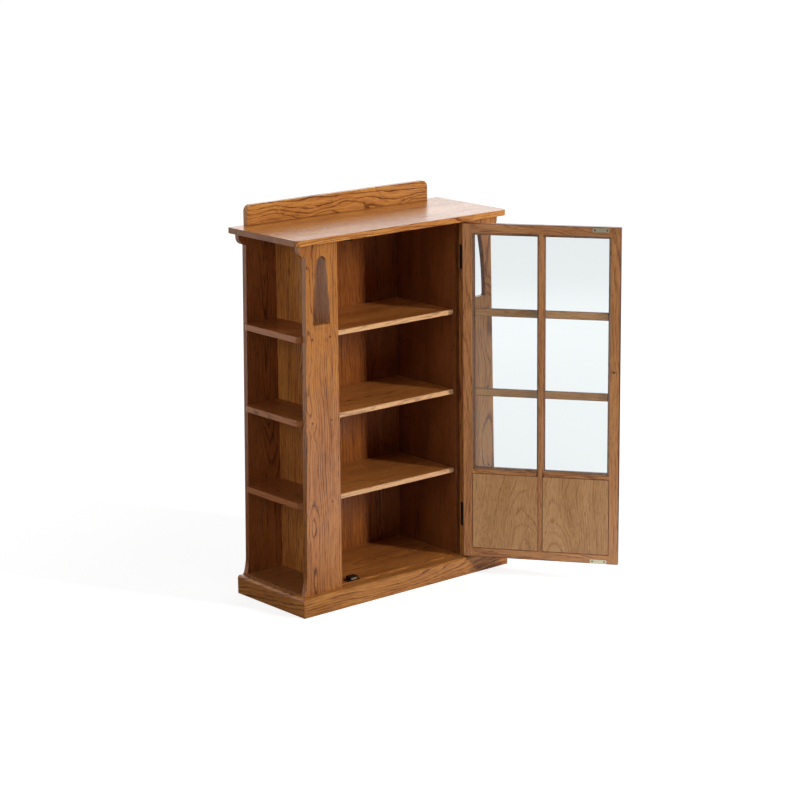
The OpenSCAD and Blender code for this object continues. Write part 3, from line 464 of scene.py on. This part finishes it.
def fastener_tree(name, recessed):
    """Geometry nodes: one turned fastener, its outer end at the origin, set on every point."""
    tree = bpy.data.node_groups.new(name, "GeometryNodeTree")
    tree.interface.new_socket("Geometry", in_out="INPUT", socket_type="NodeSocketGeometry")
    for size in ("Head Radius", "Foot Radius", "Head Height", "Shank Radius", "Length",
                 "Collar Radius", "Collar Start", "Collar Height", "Recess"):
        tree.interface.new_socket(size, in_out="INPUT", socket_type="NodeSocketFloat")
    tree.interface.new_socket("Seed", in_out="INPUT", socket_type="NodeSocketInt")
    tree.interface.new_socket("Finish", in_out="INPUT", socket_type="NodeSocketMaterial")
    tree.interface.new_socket("Geometry", in_out="OUTPUT", socket_type="NodeSocketGeometry")
    given = add(tree, "NodeGroupInput").outputs
    # head, from its foot up to the outer end
    head = add(tree, "GeometryNodeMeshCone", {"Vertices": SIDES, "Radius Top": given["Head Radius"],
                                              "Radius Bottom": given["Foot Radius"],
                                              "Depth": given["Head Height"]})
    below = add(tree, "ShaderNodeMath", {0: given["Head Height"], 1: -1.0}, operation="MULTIPLY")
    sunk = add(tree, "ShaderNodeCombineXYZ", {"Z": below})
    set_head = add(tree, "GeometryNodeTransform", {"Geometry": head, "Translation": sunk})
    # shank, from the foot of the head to the inner end
    reach = add(tree, "ShaderNodeMath", {0: given["Length"], 1: given["Head Height"]},
                operation="SUBTRACT")
    shank = add(tree, "GeometryNodeMeshCylinder",
                {"Vertices": SIDES, "Radius": given["Shank Radius"], "Depth": reach})
    centre = add(tree, "ShaderNodeMath", {0: reach, 1: -0.5, 2: below}, operation="MULTIPLY_ADD")
    deep = add(tree, "ShaderNodeCombineXYZ", {"Z": centre})
    set_shank = add(tree, "GeometryNodeTransform", {"Geometry": shank, "Translation": deep})
    # collar part way along
    collar = add(tree, "GeometryNodeMeshCylinder",
                 {"Vertices": SIDES, "Radius": given["Collar Radius"], "Depth": given["Collar Height"]})
    ring = add(tree, "ShaderNodeMath", {0: given["Collar Height"], 1: 0.5, 2: given["Collar Start"]},
               operation="MULTIPLY_ADD")
    under = add(tree, "ShaderNodeMath", {0: ring, 1: -1.0}, operation="MULTIPLY")
    along = add(tree, "ShaderNodeCombineXYZ", {"Z": under})
    set_collar = add(tree, "GeometryNodeTransform", {"Geometry": collar, "Translation": along})
    shape = add(tree, "GeometryNodeJoinGeometry")
    for piece in (set_head, set_shank) if recessed else (set_head, set_shank, set_collar):
        tree.links.new(piece.outputs[0], shape.inputs[0])
    if recessed:
        # a cross recess, half of each box's height below the face
        arm = add(tree, "ShaderNodeMath", {0: given["Recess"], 1: ARM}, operation="MULTIPLY")
        depth = add(tree, "ShaderNodeMath", {0: given["Recess"], 1: CUT}, operation="MULTIPLY")
        size_a = add(tree, "ShaderNodeCombineXYZ", {"X": given["Recess"], "Y": arm, "Z": depth})
        size_b = add(tree, "ShaderNodeCombineXYZ", {"X": arm, "Y": given["Recess"], "Z": depth})
        bits = [add(tree, "GeometryNodeMeshCube", {"Size": size}) for size in (size_a, size_b)]
        cut = add(tree, "GeometryNodeMeshBoolean", {"Mesh 1": shape},
                  operation="DIFFERENCE", solver="EXACT")
        for bit in bits:
            tree.links.new(bit.outputs[0], cut.inputs["Mesh 2"])
        shape = cut
    facing = add(tree, "GeometryNodeInputNamedAttribute", {"Name": "facing"}, data_type="FLOAT_VECTOR")
    upright = add(tree, "FunctionNodeAlignRotationToVector", {"Vector": facing}, axis="Z")
    spin = add(tree, "FunctionNodeRandomValue", {"Min": 0.0, "Max": math.tau, "Seed": given["Seed"]},
               data_type="FLOAT")
    about = add(tree, "FunctionNodeAxisAngleToRotation", {"Axis": (0, 0, 1), "Angle": spin.outputs[1]})
    turned = add(tree, "FunctionNodeRotateRotation", {"Rotation": upright, "Rotate By": about},
                 rotation_space="LOCAL")
    spread = add(tree, "GeometryNodeInstanceOnPoints",
                 {"Points": given["Geometry"], "Instance": shape, "Rotation": turned})
    real = add(tree, "GeometryNodeRealizeInstances", {"Geometry": spread})
    done = add(tree, "GeometryNodeSetMaterial", {"Geometry": real, "Material": given["Finish"]})
    add(tree, "NodeGroupOutput", {"Geometry": done})
    return tree


def ends(node, facing):
    """Outer end and direction of every fastener in a CAD node, and the fasteners' length."""
    work = bmesh.new()
    work.from_mesh(nodes[node].data)
    bmesh.ops.remove_doubles(work, verts=work.verts, dist=MERGE)
    left, found, length = set(work.verts), [], 0.0
    while left:
        group, edge = set(), [min(left, key=lambda v: v.index)]
        while edge:
            vert = edge.pop()
            if vert in left:
                left.remove(vert)
                group.add(vert)
                edge.extend(link.other_vert(vert) for link in vert.link_edges)
        spots = [v.co.copy() for v in sorted(group, key=lambda v: v.index)]
        middle = Vector([(min(c[i] for c in spots) + max(c[i] for c in spots)) / 2 for i in range(3)])
        way = Vector(facing(middle)).normalized()
        runs = [(spot - middle).dot(way) for spot in spots]
        found.append((middle + way * max(runs), way))
        length = max(length, max(runs) - min(runs))
    work.free()
    return found, length


def fasteners(name, node, tree, facing, finish, proud=0.0, seed=1, **sizes):
    """One mesh with all fasteners of a CAD node, made by geometry nodes; sizes are in mm."""
    found, length = ends(node, facing)
    mesh = bpy.data.meshes.new(name)
    mesh.from_pydata([spot + way * proud * MM for spot, way in found], [], [])
    mesh.attributes.new("facing", "FLOAT_VECTOR", "POINT").data.foreach_set(
        "vector", [part for _, way in found for part in way])
    made = bpy.data.objects.new(name, mesh)
    bpy.context.scene.collection.objects.link(made)
    turned = made.modifiers.new("turned", "NODES")
    turned.node_group = tree
    values = {size.replace("_", " ").title(): value * MM for size, value in sizes.items()}
    values.update({"Length": length + proud * MM, "Seed": seed, "Finish": finish})
    for item in tree.interface.items_tree:
        if item.in_out == "INPUT" and item.name in values:
            turned[item.identifier] = values[item.name]
    bake(made)
    for face in made.data.polygons:
        face.use_smooth = True
    made.data.set_sharp_from_angle(angle=HEAD_CREASE)
    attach(made, body_of_node[node])
    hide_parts(node)


def along_door(way):
    """A direction on the closed door, as it points on the open one."""
    turned = Vector(way)
    turned.rotate(Matrix.Rotation(DOOR_TURN, 3, "Z"))
    return turned


screw, peg = fastener_tree("recessed_screw", True), fastener_tree("turned_peg", False)
low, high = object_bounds()
halfway = (low[Z] + high[Z]) / 2  # up the cabinet, the way the catches' screw heads face
fasteners("plugs_oak", "plugs", peg, lambda at: (0, -1, 0), FINISH["oak_plugs"],
          head_radius=3.6, foot_radius=4.0, head_height=0.4, shank_radius=4.0, collar_radius=3.0,
          collar_start=2.0, collar_height=1.0)
fasteners("pins_shelves", "shelf_pins", peg, lambda at: (-at.x, 0, 0), FINISH["nickel_steel"],
          head_radius=1.9, foot_radius=2.5, head_height=0.6, shank_radius=2.5, collar_radius=4.0,
          collar_start=8.0, collar_height=1.5)
fasteners("screws_hinge_case", "hinge_screws_case", screw, lambda at: (-1, 0, 0), FINISH["black_steel"],
          proud=0.15, seed=3, head_radius=2.8, foot_radius=1.6, head_height=1.4,
          shank_radius=1.5, recess=2.6)
fasteners("screws_hinge_door", "hinge_screws_door", screw, lambda at: along_door((1, 0, 0)),
          FINISH["black_steel"], proud=0.15, seed=5, head_radius=2.8, foot_radius=1.6, head_height=1.4,
          shank_radius=1.5, recess=2.6)
fasteners("screws_strikes", "strike_screws", screw, lambda at: along_door((0, 1, 0)),
          FINISH["zinc_steel"], seed=7, head_radius=2.9, foot_radius=1.5, head_height=1.5,
          shank_radius=1.5, recess=3.0)
fasteners("screws_catches", "catch_screws", screw, lambda at: (0, 0, halfway - at.z),
          FINISH["zinc_steel"], seed=9, head_radius=2.7, foot_radius=3.0, head_height=1.6,
          shank_radius=1.5, recess=3.4)
fasteners("screw_knob", "knob_screw", screw, lambda at: along_door((0, 1, 0)),
          FINISH["zinc_steel"], seed=11, head_radius=3.0, foot_radius=3.5, head_height=2.4,
          shank_radius=1.75, recess=4.0)


# ---------- floor, light and camera ----------

WORLD_DIM = 0.05                                # light from all round
MIRROR_BACK, MIRROR_FRONT = 1.1, 0.08           # what reflections find behind and in front
FLOOR_GLEAM, SIDE_GLEAM, FLOOR_DIM = 1.75, 0.42, 0.04   # and on the floor: two pools, the rest
FLOOR_BOUNCE, FAR_BOUNCE = 0.9, 0.2             # how pale the floor is to the light
POOL, SIDE_POOL = (0.6, -1.5, 0.0), (-2.0, -1.35, 0.0)
FLOOR_SIZE = 30.0                               # m, from the middle to each edge
WHITE, PAPER = (1, 1, 1, 1), (0.42, 0.42, 0.42, 1)
GLOW_NEAR, GLOW_FAR = 0.78, 1.0                 # the floor's own white, near and past the lamps


def lay_floor():
    """A plain pale floor: white to the eye, with the shadow, and lit in front for reflections."""
    mesh = bpy.data.meshes.new("floor")
    corners = ((-1, -1), (1, -1), (1, 1), (-1, 1))
    mesh.from_pydata([(x * FLOOR_SIZE, y * FLOOR_SIZE, 0) for x, y in corners], [], [(0, 1, 2, 3)])
    floor = bpy.data.objects.new("floor", mesh)
    bpy.context.scene.collection.objects.link(floor)
    material, tree, output = new_material("floor_pale")
    where = add(tree, "ShaderNodeTexCoord").outputs["Object"]
    path = add(tree, "ShaderNodeLightPath")
    direct = add(tree, "ShaderNodeMath", {0: path.outputs["Is Camera Ray"],
                                          1: path.outputs["Is Transmission Ray"]}, operation="MAXIMUM")
    # to the eye: paper white all over, by the lamps nearby and by its own glow further out
    far = add(tree, "ShaderNodeVectorMath", {0: where}, operation="LENGTH").outputs["Value"]
    fade = add(tree, "ShaderNodeMapRange", {"Value": far, "From Min": 0.8, "From Max": 4.0,
                                            "To Min": GLOW_NEAR, "To Max": GLOW_FAR})
    glow = add(tree, "ShaderNodeEmission", {"Color": WHITE, "Strength": fade})
    matte = add(tree, "ShaderNodeBsdfDiffuse", {"Color": PAPER})
    paper = add(tree, "ShaderNodeAddShader", {0: glow, 1: matte})
    # in reflections: a lit pool in front and to the right, a pale rear, and dim elsewhere
    near = add(tree, "ShaderNodeVectorMath", {0: where, 1: POOL},
               operation="DISTANCE").outputs["Value"]
    pool = add(tree, "ShaderNodeMapRange",
               {"Value": near, "From Min": 0.6, "From Max": 1.7,
                "To Min": FLOOR_GLEAM, "To Max": FLOOR_DIM}, interpolation_type="SMOOTHSTEP")
    depth = add(tree, "ShaderNodeSeparateXYZ", {0: where})
    rear = add(tree, "ShaderNodeMapRange", {"Value": depth.outputs[Y], "From Min": 0.9, "From Max": 2.4,
                                            "To Min": FLOOR_DIM, "To Max": MIRROR_BACK})
    # a second, fainter pool to the left, which the open door's inside and its panes mirror
    aside = add(tree, "ShaderNodeVectorMath", {0: where, 1: SIDE_POOL},
                operation="DISTANCE").outputs["Value"]
    faint = add(tree, "ShaderNodeMapRange",
                {"Value": aside, "From Min": 0.8, "From Max": 1.7,
                 "To Min": SIDE_GLEAM, "To Max": FLOOR_DIM}, interpolation_type="SMOOTHSTEP")
    front = add(tree, "ShaderNodeMath", {0: pool, 1: faint}, operation="MAXIMUM")
    lit = add(tree, "ShaderNodeMath", {0: front, 1: rear}, operation="MAXIMUM")
    gleam = add(tree, "ShaderNodeEmission", {"Color": WHITE, "Strength": lit})
    # to the light: pale near the cabinet's front, so that its foot is lit from below
    bounce = add(tree, "ShaderNodeMapRange", {"Value": near, "From Min": 1.0, "From Max": 2.4,
                                              "To Min": FLOOR_BOUNCE, "To Max": FAR_BOUNCE})
    plain = add(tree, "ShaderNodeBsdfDiffuse", {"Color": bounce})
    unseen = add(tree, "ShaderNodeMixShader", {0: path.outputs["Is Glossy Ray"], 1: plain, 2: gleam})
    mix = add(tree, "ShaderNodeMixShader", {0: direct, 1: unseen, 2: paper})
    tree.links.new(mix.outputs[0], output.inputs["Surface"])
    mesh.materials.append(material)


def surround():
    """White for the eye; a pale wall behind and a dim room in front for reflections and light."""
    world = bpy.data.worlds.new("surround")
    bpy.context.scene.world = world
    world.use_nodes = True
    tree = world.node_tree
    tree.nodes.clear()
    path = add(tree, "ShaderNodeLightPath")
    seen = add(tree, "ShaderNodeMath", {0: path.outputs["Is Camera Ray"],
                                        1: path.outputs["Is Transmission Ray"]}, operation="MAXIMUM")
    way = add(tree, "ShaderNodeTexCoord").outputs["Generated"]
    behind = add(tree, "ShaderNodeSeparateXYZ", {0: way})
    wall = add(tree, "ShaderNodeMapRange",
               {"Value": behind.outputs[Y], "From Min": 0.0, "From Max": 0.5,
                "To Min": MIRROR_FRONT, "To Max": MIRROR_BACK})
    white = add(tree, "ShaderNodeBackground", {"Color": WHITE, "Strength": 1.0})
    room = add(tree, "ShaderNodeBackground", {"Color": WHITE, "Strength": wall})
    dim = add(tree, "ShaderNodeBackground", {"Color": WHITE, "Strength": WORLD_DIM})
    unseen = add(tree, "ShaderNodeMixShader", {0: path.outputs["Is Glossy Ray"], 1: dim, 2: room})
    mix = add(tree, "ShaderNodeMixShader", {0: seen, 1: unseen, 2: white})
    add(tree, "ShaderNodeOutputWorld", {"Surface": mix})


AIM = (0, 0, 0.6)                 # the middle of the cabinet, where every lamp points


def lamp(name, azimuth, height, reach, width, tall, watts, mirrored=True):
    """A soft panel lamp aimed at the cabinet, unseen but, where mirrored, in reflections.

    azimuth and height are in degrees: 0 is in front, positive to the right and up. reach, from
    the cabinet, and the lamp's width and tall are in metres.
    """
    data = bpy.data.lights.new(name, "AREA")
    data.shape = "RECTANGLE"
    data.size = width
    data.size_y = tall
    data.energy = watts
    made = bpy.data.objects.new(name, data)
    bpy.context.scene.collection.objects.link(made)
    turn, tip = math.radians(azimuth), math.radians(height)
    aim = Vector(AIM)
    way = Vector((math.sin(turn) * math.cos(tip), -math.cos(turn) * math.cos(tip), math.sin(tip)))
    made.location = aim + way * reach
    made.rotation_euler = (-way).to_track_quat("-Z", "Y").to_euler()
    made.visible_camera = made.visible_transmission = False
    made.visible_glossy = mirrored


# azimuth, height, reach, width, tall, watts, and False for a lamp that reflections don't show
LAMPS = {
    "key": (25, 20.5, 8.0, 0.6, 2.8, 400, False),
    "right": (60, 8, 3.0, 1.8, 0.9, 26, False),
    "left": (-70, 20, 4.0, 2.5, 2.5, 40),
    "high": (-10, 52, 3.5, 1.5, 1.5, 11, False),
    "back": (142, 17, 4.5, 3.4, 2.2, 20),
    "top": (170, 78, 4.0, 2.0, 2.0, 48),
}
lay_floor()
surround()
for name, setting in LAMPS.items():
    lamp(name, *setting)

# the camera stands to the left of the front and above the top board, 7.7 m away
EYE = (-4.7338, -5.7790, 2.4135)
HEADING, DIP, ROLL = -39.971, 13.803, -0.597   # degrees: about Z, down, and about its own axis
LENS, SENSOR = 111.517, 36                     # mm
view = bpy.data.cameras.new("view")
view.lens = LENS
view.sensor_width = SENSOR
view.clip_end = 100
camera = bpy.data.objects.new("view", view)
bpy.context.scene.collection.objects.link(camera)
camera.matrix_world = (Matrix.Translation(EYE)
                       @ Matrix.Rotation(math.radians(HEADING), 4, "Z")
                       @ Matrix.Rotation(math.radians(90 - DIP), 4, "X")
                       @ Matrix.Rotation(math.radians(ROLL), 4, "Z"))
bpy.context.scene.camera = camera
bpy.context.scene.view_settings.view_transform = "Standard"
